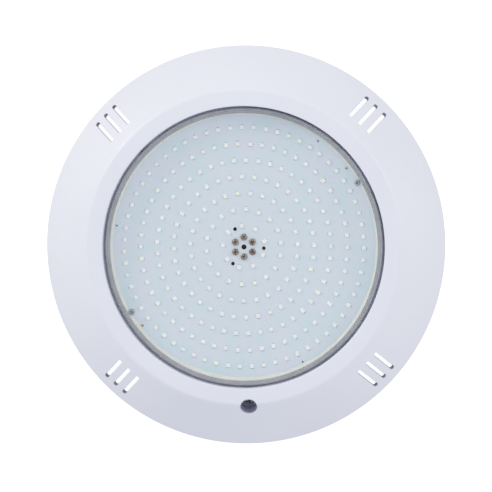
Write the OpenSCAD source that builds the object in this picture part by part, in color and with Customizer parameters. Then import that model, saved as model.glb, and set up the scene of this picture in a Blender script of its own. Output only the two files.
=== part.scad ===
// Underwater pool light: a flat, round, surface-mounted light for a pool wall.
// It lies on its back: +Z is the way the light shines, z = 0 is the wall, and the
// axis of the light is the Z axis. The well of the locking screw is on the -Y side.

/* [Trim ring] */
// Outer diameter of the trim ring
ring_d = 290; // [286:1:300]
// Height of the front face above the wall
front_z = 42; // [40:0.5:44]
// Radius where the flat land turns into the sloping skirt
crease_r = 112.6; // [111:0.2:114]
// Diameter of the opening in front of the lens
opening_d = 202; // [201.5:0.5:203]
// Wall thickness of the ring
ring_wall = 2.6; // [2:0.1:3]
// Radius of the skirt's gentle crown
crown_r = 345; // [250:5:600]
// Height where the skirt meets the upright rim
rim_z = 6; // [4:0.5:8]
// Radius of the soft crease between land and skirt
crease_fillet = 4; // [1:0.5:5]
// Number of slot groups
slot_groups = 4; // [2:1:4]
// Slots in each group
slots_per_group = 3; // [1:1:4]
// Width of a slot
slot_w = 3; // [2:0.1:3.6]
// Distance between neighbouring slots
slot_pitch = 8.6; // [7:0.1:9]
// Length of a slot as seen from the front
slot_len = 18.5; // [12:0.5:19]
// Radius of the middle of the slots
slot_mid_r = 129.6; // [129:0.1:131]

/* [Locking screw] */
// Diameter of the well that the screwdriver goes into
well_d = 11.7; // [10:0.1:12]
// Lean of the locking screw away from the light's axis
lock_tilt = 20; // [18:0.5:22]
// Diameter of the screw's shank
lock_d = 4; // [3.5:0.1:4.4]
// Diameter of the screw's head
lock_head_d = 7.4; // [6.5:0.1:8]
// Gap between the screw's tip and the bracket's rim
lock_gap = 0.3; // [0.2:0.05:0.6]

/* [Lens] */
// Outer diameter of the lens cap
lens_d = 200.4; // [200:0.1:201]
// Thickness of the lens
lens_t = 2.5; // [2:0.1:3]
// How far the lens lies below the front face
lens_recess = 5; // [4:0.5:6]
// Thickness of the gasket under the lens
gasket_t = 1.3; // [1:0.1:1.6]

/* [Light board] */
// Diameter of the light board
board_d = 192.2; // [190:0.2:192.4]
// Thickness of the light board
board_t = 1.6; // [1.2:0.2:2]
// Number of rings of light packages
led_rings = 7; // [7:1:7]
// Packages in the first ring, and how many more each further ring has
leds_first = 9; // [6:1:10]
// Radius of the first ring
led_first_r = 15.15; // [15:0.05:15.6]
// Distance between neighbouring rings
led_pitch = 11.8; // [11:0.02:11.9]
// Long side of a light package, along the board's radius
led_l = 3.5; // [3:0.1:3.5]
// Short side of a light package
led_w = 2.8; // [2.4:0.1:2.8]
// Height of a light package
led_h = 0.8; // [0.6:0.1:1]
// Turn of the board in the housing, seen from the front
board_turn = -5.3; // [-8:0.1:8]

/* [Housing] */
// Outer diameter of the housing's upper part
housing_d = 197.8; // [197:0.2:198]
// Outer diameter of the housing's lower part
lower_d = 188; // [186:0.5:189]
// Wall thickness of the housing
housing_wall = 2.5; // [2:0.1:2.6]
// Inner diameter of the pocket for the cable gland
pocket_d = 62; // [56:1:64]

/* [Cable gland] */
// Diameter of the cable hole in the rubber seal
cable_d = 8.4; // [7:0.1:9]
// Diameter of the gland's thread
gland_d = 16; // [15:0.5:16.5]
// Size of the hexagons across their flats
gland_hex = 20; // [19:0.5:22]

/* [Wall bracket] */
// Diameter of the bracket
bracket_d = 215; // [214:0.5:216]
// Thickness of the bracket's plate
plate_t = 3; // [2.5:0.1:3.2]
// Diameter of the open middle, where the cable enters the wall
conduit_d = 68; // [60:1:72]
// Distance between the wall screws, both ways
screw_spacing = 90; // [80:1:94]
// Width of the slots for the wall screws
screw_slot_w = 5.2; // [4.4:0.1:6]
// Length of the slots for the wall screws
screw_slot_len = 12; // [9:0.5:14]
// Width of a bayonet hook, in degrees
hook_deg = 16; // [14:1:18]
// Number of bayonet hooks
hooks = 3; // [3:1:3]

/* [Hidden] */
$fn = 96;

eps = 0.01;
ring_r = ring_d / 2;
opening_r = opening_d / 2;

// Heights, from the front back to the wall
lens_top = front_z - lens_recess;
lens_under = lens_top - lens_t;
housing_top = lens_under - gasket_t;
board_top = housing_top - 3;
board_under = board_top - board_t;
step_z = 12.6;
floor_z = 4;
floor_t = 2.6;
floor_top = floor_z + floor_t;
pocket_top = 21.6;
pocket_under = pocket_top - floor_t;
ear_z = 17;
ear_t = 3;
lip_z = 30;

// Radii of the housing
housing_r = housing_d / 2;
housing_in = housing_r - housing_wall;
lower_r = lower_d / 2;
lower_in = lower_r - housing_wall;
pocket_r = pocket_d / 2;
pocket_out = pocket_r + 2.4;
lens_r = lens_d / 2;
board_r = board_d / 2;

// Land, crease and skirt of the trim ring
land_drop = 0.4;
crease_z = front_z - land_drop;
skirt_top = [crease_r, crease_z];
skirt_end = [ring_r, rim_z];
skirt_chord = norm(skirt_end - skirt_top);
skirt_slope = atan2(crease_z - rim_z, ring_r - crease_r);
skirt_normal = [sin(skirt_slope), cos(skirt_slope)];
skirt_half = asin(skirt_chord / 2 / crown_r);
crown_centre = (skirt_top + skirt_end) / 2 - crown_r * cos(skirt_half) * skirt_normal;

// Bayonet: tabs of the housing under hooks of the bracket
rim_in = 100.5;
hook_in = 97.4;
hook_z = [9.4, 12];
tab_z = [6.2, 9];
tab_r = 99.7;
tab_deg = hook_deg - 2;
hook_start = 30;

// Screws that hold the housing to the trim ring
ear_r = 106.5;
ears = 4;
ear_start = 45;

// Locking screw: its axis rises from a foot on the bracket's rim
lock_foot_r = 104.1;
lock_foot_z = 10.9;
insert_s = [11, 17];
lock_washer_t = 0.8;
lock_head_t = 2.6;

// Middle of the light board
contact_r = 7.05;
contact_turn = 4;
board_hole_r = 14.35;
board_screw_r = 93.4;
board_screw_at = [33, 213.6];
eyelet_r = 92.6;
eyelet_at = [41, 221.2];
vent_r = 92.9;
vent_at = [58.5, 174, 300.5];
block_z = 25.4;
block_r = 16.5;

// Driver board, beside the gland pocket
driver_x = 62;
driver_l = 46;
driver_w = 56;
driver_z = 10;
driver_t = 1.6;
driver_top = driver_z + driver_t;
driver_hole_in = 3.5;
header_x = 43;
wire_pitch = 3;
wire_r = 0.7;
wire_z = 27;
wires = 6;

// Cable gland, hanging from the pocket's floor
gland_r = gland_d / 2;
hex_r = gland_hex / 2 / cos(30);
flange_t = 3.6;
flange_top = pocket_under - 0.6;
flange_z = flange_top - flange_t;
gland_end = 8.4;
seal_z = [7.8, 12.8];
seal_r = 6;
nut_z = [4.6, 13.4];
clamp_t = 1;

white = [0.92, 0.93, 0.96];
soft_grey = [0.55, 0.56, 0.6];
board_blue = [0.77, 0.82, 0.86];
brass = [0.78, 0.62, 0.32];
nickel = [0.7, 0.68, 0.64];
black = [0.12, 0.12, 0.13];

// Shared shapes

// Points along an arc, from angle a to angle b
function arc(centre, r, a, b, n) = [
    for (i = [0:n]) centre + r * [cos(a + (b - a) * i / n), sin(a + (b - a) * i / n)]
];

// The skirt's outline, t below its surface, from the crease down to the rim
function skirt(t) = arc(
    crown_centre, crown_r - t, 90 - skirt_slope + skirt_half, 90 - skirt_slope - skirt_half, 10
);

// Copies its children at even turns round the light's axis
module around(count, start = 0) {
    for (i = [0:count - 1]) rotate(start + 360 * i / count) children();
}

// A ring between two radii and two heights
module ring(r_in, r_out, z0, z1) {
    rotate_extrude() translate([r_in, z0]) square([r_out - r_in, z1 - z0]);
}

// A stretch of such a ring
module ring_part(r_in, r_out, z0, z1, start, degrees) {
    rotate([0, 0, start])
        rotate_extrude(angle = degrees) translate([r_in, z0]) square([r_out - r_in, z1 - z0]);
}

// A cylinder from one height to another
module pillar(r, z0, z1) {
    translate([0, 0, z0]) cylinder(r = r, h = z1 - z0);
}

// A slot with round ends along X, through the given height
module long_hole(length, width, z0, z1) {
    translate([0, 0, (z0 + z1) / 2]) cube([length - width, width, z1 - z0], center = true);
    for (x = [-1, 1]) translate([x * (length - width) / 2, 0]) pillar(width / 2, z0, z1);
}

// A screw that points down: the underside of its head is at z = 0
module cross_screw(head_r, head_t, shank_r, shank_len) {
    edge = head_t * 0.35;
    difference() {
        union() {
            rotate_extrude() polygon([
                [0, 0], [head_r, 0], [head_r, head_t - edge], [head_r - edge, head_t], [0, head_t]
            ]);
            translate([0, 0, -shank_len]) cylinder(r = shank_r, h = shank_len + eps);
        }
        for (turn = [0, 90]) rotate(turn)
            translate([0, 0, head_t]) cube([head_r * 1.2, head_r * 0.26, head_t], center = true);
    }
}

// Puts its children on the locking screw's axis, with z = 0 at the axis's foot
module on_lock_axis() {
    translate([0, -lock_foot_r, lock_foot_z]) rotate([lock_tilt, 0, 0]) children();
}

// Trim ring

// The crease: an arc that meets the land at its start and the skirt at its end
function crease() =
    let (
        top_slope = skirt_slope - skirt_half,
        start = crease_fillet * tan(top_slope / 2)
    ) arc([crease_r - start, crease_z - crease_fillet], crease_fillet, 90, 90 - top_slope, 6);

module ring_section() {
    lip = 0.8;
    fillet = 0.5;
    top_corner = [opening_r + lip, front_z - lip];
    polygon(concat(
        [[opening_r, lip_z]],
        arc(top_corner, lip, 180, 90, 4),
        crease(),
        [for (i = [1:10]) skirt(0)[i]],
        [[ring_r, 1 + fillet], [ring_r - fillet, 1], [ring_r - ring_wall, 1]],
        [for (i = [10:-1:0]) skirt(ring_wall)[i]],
        [[opening_r + ring_wall, front_z - ring_wall - land_drop], [opening_r + ring_wall, lip_z]]
    ));
}

module ring_slots() {
    along = slot_len / cos(skirt_slope);
    drop = (slot_mid_r - crease_r) * tan(skirt_slope);
    around(slot_groups, 45)
        for (i = [0:slots_per_group - 1])
            translate([slot_mid_r, (i - (slots_per_group - 1) / 2) * slot_pitch, crease_z - drop])
                rotate([0, skirt_slope, 0]) long_hole(along, slot_w, -8, 8);
}

module ring_ribs() {
    middle = skirt(ring_wall / 2);
    around(8, 22.5)
        rotate([90, 0, 0]) linear_extrude(1.8, center = true) polygon([
            [opening_r + 1.3, lip_z + 1], [opening_r + 1.3, front_z - 1.6],
            [crease_r, front_z - 1.9], middle[1], middle[3], middle[3] - [8, 5]
        ]);
}

module trim_ring() {
    boss_r = 4;
    color(white) difference() {
        union() {
            rotate_extrude($fn = 192) ring_section();
            ring_ribs();
            around(ears, ear_start)
                translate([ear_r, 0]) pillar(boss_r, ear_z + ear_t, front_z - 1.6);
            intersection() {
                on_lock_axis() {
                    pillar(6, insert_s[0], 18);
                    pillar(well_d / 2 + 1.9, insert_s[1] - 1, 40);
                }
                rotate_extrude() polygon(concat(
                    [[opening_r + 0.6, 12], [opening_r + 0.6, front_z - 1]],
                    skirt(0.8),
                    [[ring_r - 2, 1]]
                ));
            }
        }
        ring_slots();
        around(ears, ear_start)
            translate([ear_r, 0]) pillar(1.5, ear_z, ear_z + 15);
        on_lock_axis() {
            pillar(well_d / 2, insert_s[1], 50);
            pillar(3.6, insert_s[0] - 5, insert_s[1] + eps);
        }
    }
}

module ring_screws() {
    color(nickel) around(ears, ear_start)
        translate([ear_r, 0, ear_z]) mirror([0, 0, 1]) cross_screw(3, 2.4, 1.45, 13);
}

// Lens and seals

module lens() {
    chamfer = 1.4;
    skirt_in = lens_r - 1.1;
    color([0.8, 0.9, 0.95, 0.35]) rotate_extrude($fn = 192) polygon([
        [0, lens_under], [skirt_in, lens_under], [skirt_in, 24], [lens_r, 24],
        [lens_r, lens_top - chamfer], [lens_r - chamfer, lens_top], [0, lens_top]
    ]);
}

module lens_gasket() {
    inner = housing_in + 0.2;
    bead = (housing_r - inner) / 3;
    color(soft_grey) rotate_extrude() polygon(concat(
        [[inner, housing_top]],
        [for (i = [0:2]) each [
            [inner + bead * i, lens_under - 0.35],
            [inner + bead * (i + 0.3), lens_under],
            [inner + bead * (i + 0.7), lens_under]
        ]],
        [[housing_r, lens_under - 0.35], [housing_r, housing_top]]
    ));
}

module edge_sealant() {
    width = 1.9;
    color([0.86, 0.86, 0.8]) difference() {
        rotate_extrude() polygon([
            [housing_in - width, board_top], [housing_in, board_top], [housing_in, board_top + 1.7],
            [housing_in - 0.7, board_top + 0.6]
        ]);
        for (a = board_screw_at) rotate(a + board_turn)
            translate([board_screw_r, 0]) pillar(2.2, board_top - 1, board_top + 3);
    }
}

// Housing

module housing_section() {
    polygon([
        [pocket_r, floor_z], [lower_r, floor_z], [lower_r, step_z], [housing_r, step_z],
        [housing_r, 21.8], [lens_r, 22.6], [lens_r, 23.8], [housing_r, 23.8],
        [housing_r, housing_top], [housing_in, housing_top], [housing_in, board_under],
        [housing_in - 3.6, board_under], [housing_in - 3.6, board_under - 2.4],
        [housing_in, board_under - 6], [housing_in, step_z + floor_t],
        [lower_in, step_z + floor_t], [lower_in, floor_top], [pocket_out, floor_top],
        [pocket_out, pocket_top], [gland_r + 0.1, pocket_top], [gland_r + 0.1, pocket_under],
        [pocket_r, pocket_under]
    ]);
}

module driver_posts(r, z0, z1) {
    for (x = [-1, 1], y = [-1, 1])
        translate([
            driver_x + x * (driver_l / 2 - driver_hole_in), y * (driver_w / 2 - driver_hole_in)
        ]) pillar(r, z0, z1);
}

module housing() {
    color(white) difference() {
        union() {
            rotate_extrude($fn = 144) housing_section();
            around(hooks, hook_start - tab_deg / 2)
                ring_part(lower_r - 1, tab_r, tab_z[0], tab_z[1], 0, tab_deg);
            around(ears, ear_start) {
                translate([housing_r - 1, -4.5, ear_z]) cube([ear_r - housing_r + 1, 9, ear_t]);
                translate([ear_r, 0]) pillar(4.5, ear_z, ear_z + ear_t);
            }
            driver_posts(3.2, floor_top - 1, driver_z);
            intersection() {
                for (a = board_screw_at) rotate(a + board_turn)
                    translate([board_screw_r, 0]) pillar(4, board_under - 9, board_under - 0.3);
                pillar(housing_in + 1, 0, housing_top);
            }
        }
        around(ears, ear_start) translate([ear_r, 0]) pillar(1.7, ear_z - 1, ear_z + ear_t + 1);
        driver_posts(1.2, floor_top, driver_z + 1);
        for (a = board_screw_at) rotate(a + board_turn)
            translate([board_screw_r, 0]) pillar(1.2, board_under - 7, board_under + 1);
    }
}

module potting_resin() {
    clear = 0.2;
    color([0.8, 0.8, 0.72, 0.8]) difference() {
        ring(pocket_out + clear, lower_in - clear, floor_top, driver_z - 0.6);
        driver_posts(3.2 + clear, floor_top - 1, driver_z);
    }
}

// Light board

module led_board() {
    color(board_blue) difference() {
        rotate(board_turn) pillar(board_r, board_under, board_top);
        rotate(board_turn) {
            pillar(1.9, board_under - 1, board_top + 1);
            around(6, 30 + contact_turn)
                translate([contact_r, 0]) pillar(1.3, board_under - 1, board_top + 1);
            around(3) translate([board_hole_r, 0]) pillar(1.4, board_under - 1, board_top + 1);
            for (a = board_screw_at) rotate(a)
                translate([board_screw_r, 0]) pillar(1.3, board_under - 1, board_top + 1);
            for (a = eyelet_at) rotate(a)
                translate([eyelet_r, 0]) pillar(0.75, board_under - 1, board_top + 1);
            for (a = vent_at) rotate(a)
                translate([vent_r, 0]) pillar(0.7, board_under - 1, board_top + 1);
        }
    }
}

// One ring of light packages, k from 1
module led_ring(k) {
    count = leds_first * k;
    window_r = led_w * 0.41;
    color("white") rotate(board_turn) around(count, 20 / k)
        translate([led_first_r + led_pitch * (k - 1), 0, board_top]) difference() {
            translate([-led_l / 2, -led_w / 2, 0]) cube([led_l, led_w, led_h]);
            translate([0, 0, led_h - 0.12]) cylinder(r = window_r, h = 1, $fn = 24);
        }
}

module board_screws() {
    color(nickel) for (a = board_screw_at) rotate(a + board_turn)
        translate([board_screw_r, 0, board_top]) cross_screw(1.95, 1.2, 1.15, 7);
}

module board_eyelets() {
    flange = 0.25;
    color(brass) for (a = eyelet_at) rotate(a + board_turn)
        translate([eyelet_r, 0, board_under]) rotate_extrude($fn = 32) polygon([
            [0.45, 0], [0.7, 0], [0.7, board_t], [1.05, board_t], [1.05, board_t + flange],
            [0.45, board_t + flange]
        ]);
}

// Contacts in the middle of the board

module contact_screws() {
    color(nickel) rotate(board_turn) around(6, 30 + contact_turn)
        translate([contact_r, 0, board_top]) rotate(20) cross_screw(2.35, 1.5, 1.2, 4.2);
}

module contact_block() {
    color(black) difference() {
        pillar(block_r, block_z, board_under);
        pillar(1.9, block_z + 1, board_under + 1);
        rotate(board_turn) around(6, 30 + contact_turn)
            translate([contact_r, 0]) pillar(2, block_z - 1, board_under + 1);
    }
}

module contact_inserts() {
    color(brass) rotate(board_turn) around(6, 30 + contact_turn)
        translate([contact_r, 0]) difference() {
            pillar(1.98, block_z + 0.2, board_under);
            pillar(1.22, block_z - 1, board_under + 1);
        }
}

// Driver board and what is on it

module driver_board() {
    color([0.1, 0.36, 0.2]) difference() {
        translate([driver_x - driver_l / 2, -driver_w / 2, driver_z])
            cube([driver_l, driver_w, driver_t]);
        driver_posts(1.35, driver_z - 1, driver_top + 1);
    }
}

module driver_screws() {
    color(nickel) for (x = [-1, 1], y = [-1, 1])
        translate([
            driver_x + x * (driver_l / 2 - driver_hole_in), y * (driver_w / 2 - driver_hole_in),
            driver_top
        ]) cross_screw(2.3, 1.5, 1.15, 4.6);
}

// A flat package with a row of leads on two sides
module leaded_chip(size, leads, lead_w) {
    pitch = size[0] / leads;
    translate([0, 0, size[2] / 2 + 0.1]) cube(size, center = true);
    for (side = [-1, 1], i = [0:leads - 1])
        translate([(i - (leads - 1) / 2) * pitch, side * (size[1] / 2 + 0.5), 0.35])
            cube([lead_w, 1.2, 0.7], center = true);
}

module bridge_rectifier() {
    color(black) translate([driver_x - 4, 19, driver_top]) difference() {
        union() {
            translate([-7.5, -2, 1]) cube([15, 4, 10]);
            for (i = [-1.5:1:1.5]) translate([i * 3.8 - 0.5, -0.4, 0]) cube([1, 0.8, 1.5]);
        }
        translate([-8, -3, 11.5]) rotate([0, 45, 0]) cube([3, 6, 3], center = true);
    }
}

module filter_capacitors() {
    can_r = 4;
    can_h = 11.5;
    color([0.16, 0.18, 0.3]) for (y = [-7, 3])
        translate([driver_x + 14, y, driver_top]) rotate_extrude($fn = 48) polygon([
            [0, 0], [can_r - 0.3, 0], [can_r, 0.3], [can_r, 1.2], [can_r - 0.35, 1.6],
            [can_r, 2], [can_r, can_h - 0.4], [can_r - 0.4, can_h], [0, can_h]
        ]);
}

module power_inductor() {
    color([0.25, 0.25, 0.27]) translate([driver_x + 13, 15, driver_top]) {
        translate([-6, -6, 0]) cube([12, 12, 1]);
        pillar(5.6, 1 - eps, 2);
        pillar(4.4, 2 - eps, 5);
        pillar(5.6, 5 - eps, 6.4);
    }
}

module controller_chip() {
    color(black) translate([driver_x - 5, -2, driver_top]) leaded_chip([10, 4, 1.5], 8, 0.45);
}

module output_transistors() {
    color(black) for (i = [0:2])
        translate([driver_x - 16 + i * 9, -16, driver_top]) {
            translate([-3.3, -3, 0.1]) cube([6.6, 6, 2.2]);
            translate([-2.7, 3 - eps, 0]) cube([5.4, 1.5, 0.6]);
            for (x = [-1, 1]) translate([x * 2.28 - 0.4, -5, 0]) cube([0.8, 2 + eps, 0.6]);
        }
}

module chip_resistors() {
    color([0.2, 0.2, 0.22]) for (i = [0:3], j = [0:1])
        translate([driver_x - 12 + i * 4.5, 5.5 + j * 4, driver_top + 0.3])
            cube([3.2, 1.6, 0.6], center = true);
}

module input_terminal() {
    color([0.15, 0.45, 0.3]) translate([driver_x + 12, -19, driver_top]) difference() {
        translate([-5, -5.1, 0]) cube([8, 10.2, 10]);
        for (y = [-2.5, 2.5]) translate([0, y, 0]) {
            translate([-1, 0]) pillar(1.7, 7, 11);
            translate([-6, 0, 3.4]) rotate([0, 90, 0]) cylinder(r = 1.5, h = 6);
        }
    }
}

module output_header() {
    color([0.9, 0.9, 0.86]) translate([header_x - 2, 0, driver_top]) difference() {
        translate([-2, -wires * wire_pitch / 2, 0]) cube([6, wires * wire_pitch, 5.5]);
        for (i = [0:wires - 1])
            translate([2, (i - (wires - 1) / 2) * wire_pitch, 0]) pillar(wire_r + 0.02, 1.5, 6);
    }
}

module link_wires() {
    color([0.75, 0.2, 0.18]) for (i = [0:wires - 1]) {
        y = (i - (wires - 1) / 2) * wire_pitch;
        meet = sqrt(block_r * block_r - (abs(y) - wire_r) * (abs(y) - wire_r)) + 0.02;
        translate([header_x, y, 0]) pillar(wire_r, driver_top + 1.6, wire_z);
        translate([header_x, y, wire_z]) sphere(wire_r * 1.08, $fn = 32);
        translate([meet, y, wire_z]) rotate([0, 90, 0]) cylinder(r = wire_r, h = header_x - meet);
    }
}

// Cable gland

module hexagon(z0, z1) {
    pillar(hex_r, z0, z1, $fn = 6);
}

module gland_body() {
    bore = cable_d / 2 + 0.2;
    color(black) difference() {
        union() {
            translate([0, 0, flange_z]) cylinder(r = hex_r, h = flange_t, $fn = 6);
            pillar(gland_r - 0.1, flange_z + 1, pocket_top + 3.6);
            pillar(gland_r - 0.6, gland_end, flange_z + 1);
        }
        pillar(bore, 0, 40);
        pillar(seal_r + 0.05, 0, seal_z[1] + 0.05);
        ring(gland_r + 0.02, 9.9, flange_top - 0.9, flange_top + 1);
    }
}

module gland_oring() {
    color([0.08, 0.08, 0.08]) ring(gland_r + 0.1, 9.8, flange_top - 0.9, pocket_under);
}

module gland_locknut() {
    nut_t = 3.2;
    color(black) difference() {
        translate([0, 0, pocket_top]) cylinder(r = 12.4, h = nut_t, $fn = 6);
        pillar(gland_r - 0.05, 0, 40);
    }
}

module gland_seal() {
    color([0.2, 0.2, 0.2]) ring(cable_d / 2, seal_r, seal_z[0], seal_z[1]);
}

module gland_clamp_ring() {
    color(nickel) ring(cable_d / 2 + 0.2, seal_r + 0.8, seal_z[0] - 0.05 - clamp_t, seal_z[0] - 0.05);
}

module gland_nut() {
    shoulder = seal_z[0] - 0.1 - clamp_t;
    color(black) difference() {
        union() {
            translate([0, 0, nut_z[0] + 3]) cylinder(r = hex_r, h = nut_z[1] - nut_z[0] - 3, $fn = 6);
            rotate_extrude() polygon([
                [0, nut_z[0]], [6, nut_z[0]], [gland_hex / 2 - 0.5, nut_z[0] + 3.1],
                [0, nut_z[0] + 3.1]
            ]);
        }
        pillar(cable_d / 2 + 0.2, 0, 40);
        pillar(gland_r - 0.55, shoulder, 40);
    }
}

// Locking screw

module lock_insert() {
    color(brass) on_lock_axis() difference() {
        pillar(3.58, insert_s[0], insert_s[1]);
        pillar(lock_d / 2 + 0.05, 0, 40);
    }
}

module lock_washer() {
    color(nickel) on_lock_axis() difference() {
        pillar(lock_head_d / 2 + 0.7, insert_s[1] + 0.02, insert_s[1] + lock_washer_t);
        pillar(lock_d / 2 + 0.05, 0, 40);
    }
}

module locking_screw() {
    seat = insert_s[1] + lock_washer_t + 0.02;
    color(nickel) on_lock_axis() translate([0, 0, seat])
        cross_screw(lock_head_d / 2, lock_head_t, lock_d / 2, seat - lock_gap);
}

// Wall bracket

module bracket_windows() {
    around(4) ring_part(70, 88, -1, plate_t + 1, -24, 48);
}

module wall_bracket() {
    bracket_r = bracket_d / 2;
    stop_deg = 1.6;
    stop_gap = 0.2;
    color(white) difference() {
        union() {
            ring(conduit_d / 2, bracket_r, 0, plate_t);
            rotate_extrude() polygon([
                [rim_in, 0], [bracket_r, 0],
                [bracket_r, lock_foot_z - (bracket_r - lock_foot_r) * tan(lock_tilt)],
                [rim_in, lock_foot_z + (lock_foot_r - rim_in) * tan(lock_tilt)]
            ]);
            around(hooks, hook_start - hook_deg / 2)
                ring_part(hook_in, rim_in + 0.5, hook_z[0], hook_z[1], 0, hook_deg);
            around(hooks, hook_start - tab_deg / 2 - stop_gap - stop_deg)
                ring_part(hook_in + 0.5, rim_in + 0.8, 1, hook_z[1] - 0.5, 0, stop_deg);
        }
        bracket_windows();
        ring(rim_in + 2, bracket_r - 2, -1, 7.2);
        for (x = [-1, 1], y = [-1, 1])
            translate([x, y] * screw_spacing / 2)
                long_hole(screw_slot_len, screw_slot_w, -1, plate_t + 1);
    }
}

trim_ring();
ring_screws();
lens();
lens_gasket();
edge_sealant();
housing();
led_board();
led_ring(1);  // led_ring_1
led_ring(2);  // led_ring_2
led_ring(3);  // led_ring_3
led_ring(4);  // led_ring_4
led_ring(5);  // led_ring_5
led_ring(6);  // led_ring_6
led_ring(7);  // led_ring_7
contact_screws();
contact_block();
contact_inserts();
board_screws();
board_eyelets();
driver_board();
driver_screws();
bridge_rectifier();
filter_capacitors();
power_inductor();
controller_chip();
output_transistors();
chip_resistors();
input_terminal();
output_header();
link_wires();
potting_resin();
gland_body();
gland_oring();
gland_locknut();
gland_seal();
gland_clamp_ring();
gland_nut();
lock_insert();
lock_washer();
locking_screw();
wall_bracket();
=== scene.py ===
# Underwater pool light: the looks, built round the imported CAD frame.
# The light lies on its back: +Z is the way it shines, and -Y is the side of the
# locking screw's well. Shapes are worked out in millimetres and stored in metres.
import math
import random

import bmesh
import bpy
from mathutils import Matrix, Vector


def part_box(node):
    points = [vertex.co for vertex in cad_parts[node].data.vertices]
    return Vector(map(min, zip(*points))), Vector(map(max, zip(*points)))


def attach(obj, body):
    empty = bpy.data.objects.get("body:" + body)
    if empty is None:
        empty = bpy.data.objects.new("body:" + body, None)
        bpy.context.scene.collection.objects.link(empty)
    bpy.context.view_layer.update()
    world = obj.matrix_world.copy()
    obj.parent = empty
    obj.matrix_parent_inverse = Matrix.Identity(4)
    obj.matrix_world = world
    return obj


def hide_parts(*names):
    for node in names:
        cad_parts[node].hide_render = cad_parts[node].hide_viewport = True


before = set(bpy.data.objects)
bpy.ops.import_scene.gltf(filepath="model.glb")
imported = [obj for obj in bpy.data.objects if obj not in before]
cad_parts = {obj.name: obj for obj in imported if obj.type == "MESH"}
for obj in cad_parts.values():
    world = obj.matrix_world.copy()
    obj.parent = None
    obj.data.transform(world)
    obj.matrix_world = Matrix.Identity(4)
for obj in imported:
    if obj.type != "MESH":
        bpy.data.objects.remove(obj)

MM = 0.001
IN_PLACE = Matrix.Identity(4)
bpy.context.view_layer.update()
chance = random.Random(290)


# ---------------------------------------------------------------- measures

def low_high(node):
    """A CAD node's lowest and highest corners, in millimetres."""
    low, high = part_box(node)
    return low / MM, high / MM


def solids(node):
    """The lowest and highest corners of each separate solid of a CAD node, in millimetres."""
    mesh = bmesh.new()
    mesh.from_mesh(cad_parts[node].data)
    bmesh.ops.remove_doubles(mesh, verts=mesh.verts, dist=1e-6)
    unseen = set(mesh.verts)
    found = []
    while unseen:
        queue = [unseen.pop()]
        points = []
        while queue:
            vertex = queue.pop()
            points.append(vertex.co / MM)
            near = {link.other_vert(vertex) for link in vertex.link_edges} & unseen
            unseen -= near
            queue.extend(near)
        low = Vector(min(p[i] for p in points) for i in range(3))
        high = Vector(max(p[i] for p in points) for i in range(3))
        found.append((low, high))
    mesh.free()
    return sorted(found, key=lambda box: math.atan2(box[0].y + box[1].y, box[0].x + box[1].x))


RING_R = low_high("trim_ring")[1].x
FRONT_Z = low_high("trim_ring")[1].z
RING_FOOT = low_high("trim_ring")[0].z
LENS_R = low_high("lens")[1].x
LENS_TOP = low_high("lens")[1].z
LENS_FOOT = low_high("lens")[0].z
BOARD_TOP = low_high("led_board")[1].z
GASKET_LOW, GASKET_HIGH = low_high("lens_gasket")
SEALANT_LOW, SEALANT_HIGH = low_high("edge_sealant")

# The rest repeats the CAD model's own measures, in millimetres
OPENING_R = LENS_R + 0.8
CREASE_R = 112.6
CREASE_Z = FRONT_Z - 0.4
CREASE_FILLET = 4
RIM_Z = 6
WALL = 2.6
CROWN_R = 345
BOARD_TURN = math.radians(-5.3)
BOARD_HOLE_R = 14.35
LIP_Z = 30
SLOTS_PER_GROUP = 3
SLOT_WIDTH = 3
SLOT_PITCH = 8.6
SLOT_LENGTH = 18.5
SLOT_MID_R = 129.6
EAR_R = 106.5
LOCK_FOOT = Vector((0, -104.1, 10.9))
LOCK_TILT = math.radians(20)
WELL_R = 5.85
WELL_STEPS = 48
# Along the locking screw's axis: the ends of its insert, where its head rests, and how far
# its tip stays off the bracket
INSERT_FOOT = 11
INSERT_TOP = 17
LOCK_SEAT = INSERT_TOP + 0.82
LOCK_GAP = 0.3

# The crowned skirt between the crease and the rim
SLOPE = math.atan2(CREASE_Z - RIM_Z, RING_R - CREASE_R)
CHORD = math.hypot(CREASE_Z - RIM_Z, RING_R - CREASE_R)
SKIRT_HALF = math.asin(CHORD / 2 / CROWN_R)
SKIRT_NORMAL = Vector((math.sin(SLOPE), math.cos(SLOPE)))
CROWN_CENTRE = (Vector((CREASE_R + RING_R, CREASE_Z + RIM_Z)) / 2
                - CROWN_R * math.cos(SKIRT_HALF) * SKIRT_NORMAL)


# ------------------------------------------------------------- mesh building

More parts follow.
